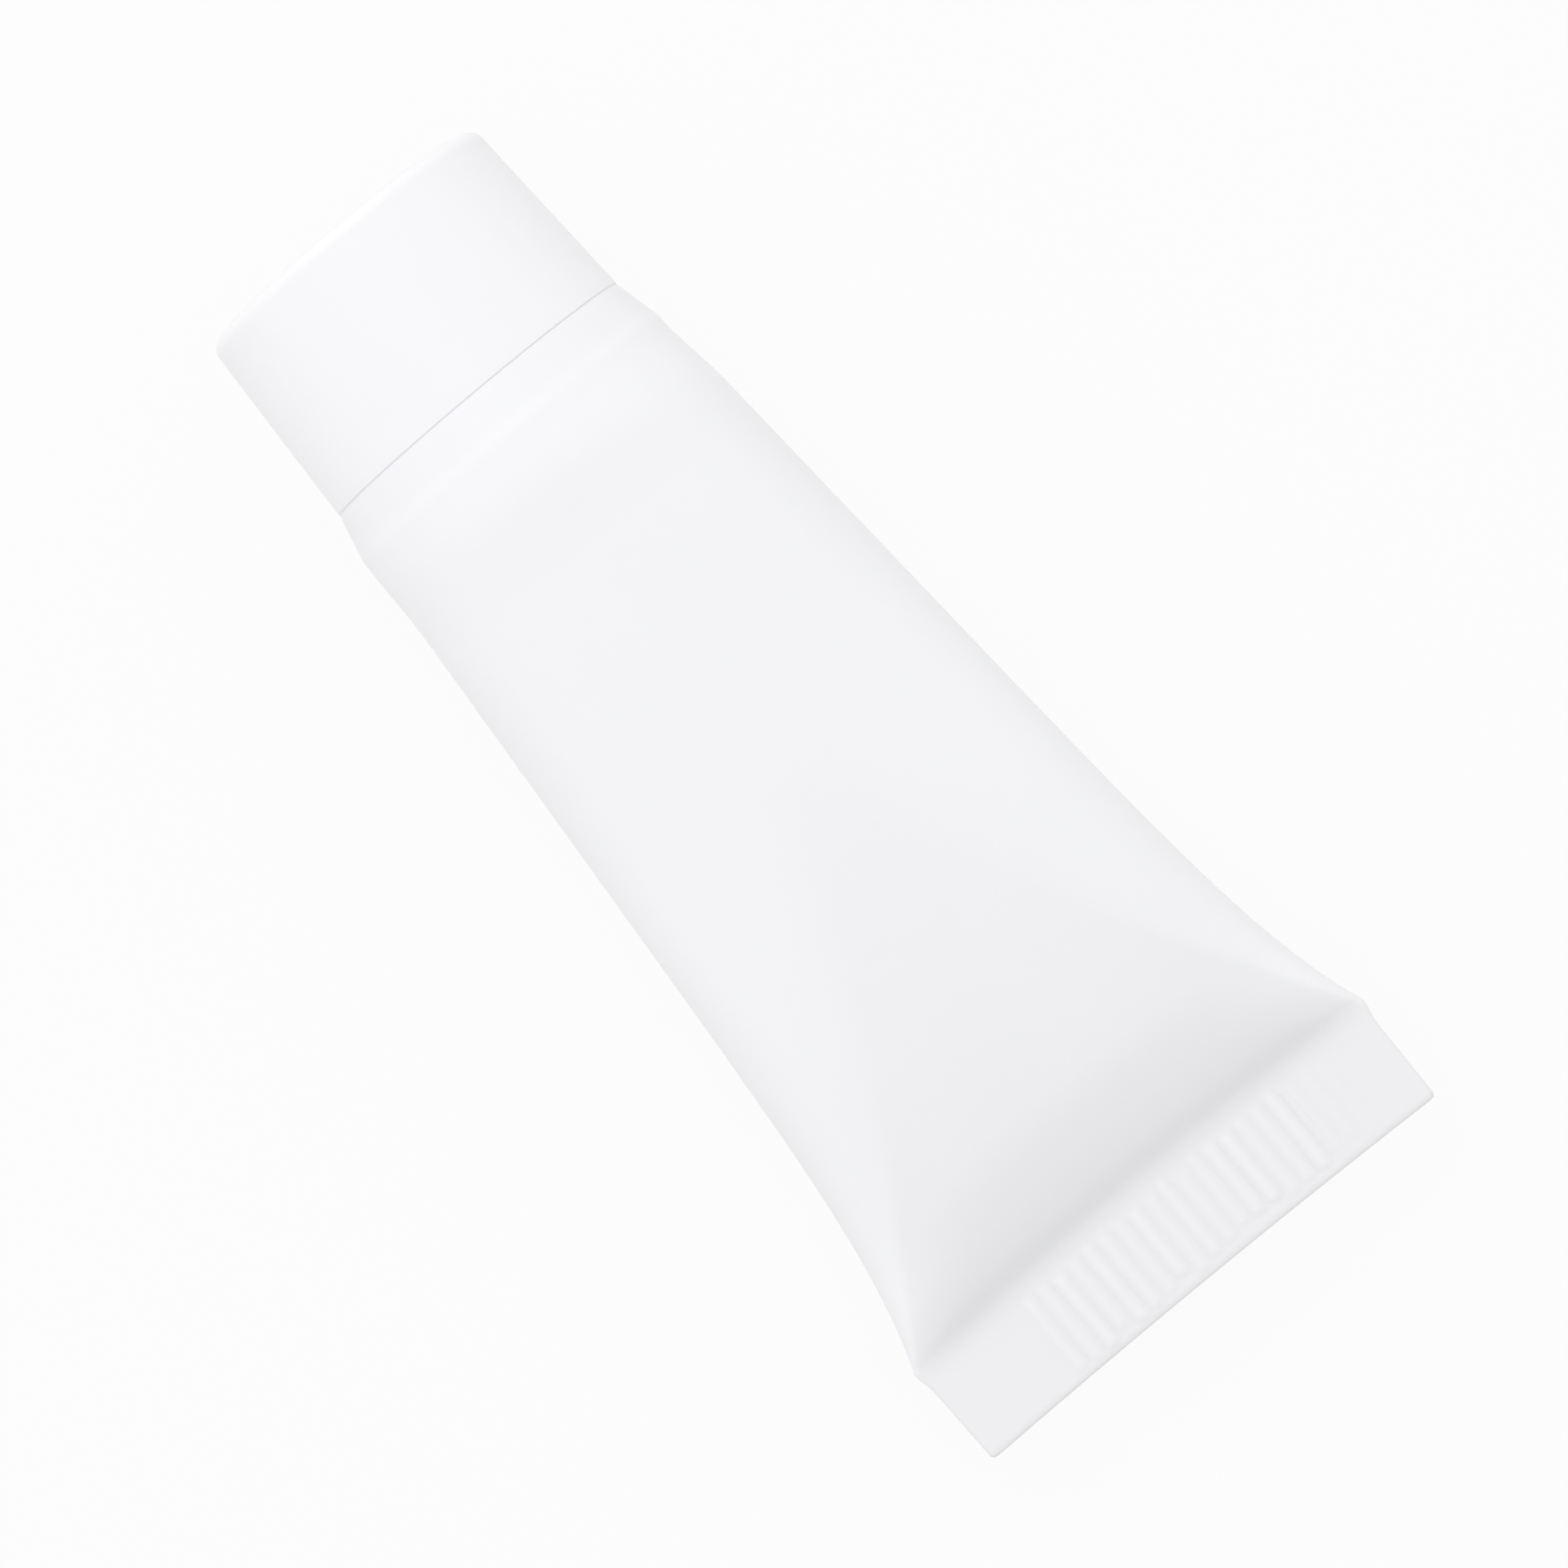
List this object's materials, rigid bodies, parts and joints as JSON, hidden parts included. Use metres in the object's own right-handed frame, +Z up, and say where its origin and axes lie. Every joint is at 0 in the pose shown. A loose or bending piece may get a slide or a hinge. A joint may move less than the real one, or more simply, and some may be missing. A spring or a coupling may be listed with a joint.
{
  "type": "lotion tube",
  "caption": "Plain white squeeze tube with a screw cap and a ribbed flat crimp, lying on its belly.",
  "frame": {"origin": "on the table, under the middle of the tube's overall length and width", "axes": "+Z up, +Y along the tube from the crimp to the cap, +X across the flat side"},
  "size_m": [0.043, 0.1, 0.0283],
  "materials": {
    "sleeve": "satin white polyethylene film, smooth, soft sheen",
    "head": "moulded white polyethylene, satin",
    "lotion": "wet cream",
    "liner": "closed-cell foam disc",
    "cap": "moulded white polypropylene, smooth semi-gloss"
  },
  "bodies": {
    "tube": {"tube_sleeve": "sleeve", "tube_head": "head", "lotion": "lotion"},
    "liner": {"cap_liner": "liner"},
    "cap": {"screw_cap": "cap"}
  },
  "joints": [
    {"name": "cap_rise", "type": "slide", "parent": "tube", "child": "liner", "axis": [0, 0.9952, 0.0976], "range_m": [0, 0.005]},
    {"name": "cap_turn", "type": "hinge", "parent": "liner", "child": "cap", "pos_m": [0, 0.04887, 0.01596], "axis": [0, 0.9952, 0.0976], "range_deg": [0, 720]}
  ],
  "couplings": [
    {"joint": "cap_rise", "follows": "cap_turn", "m_per_rad": 0.00039789}
  ]
}
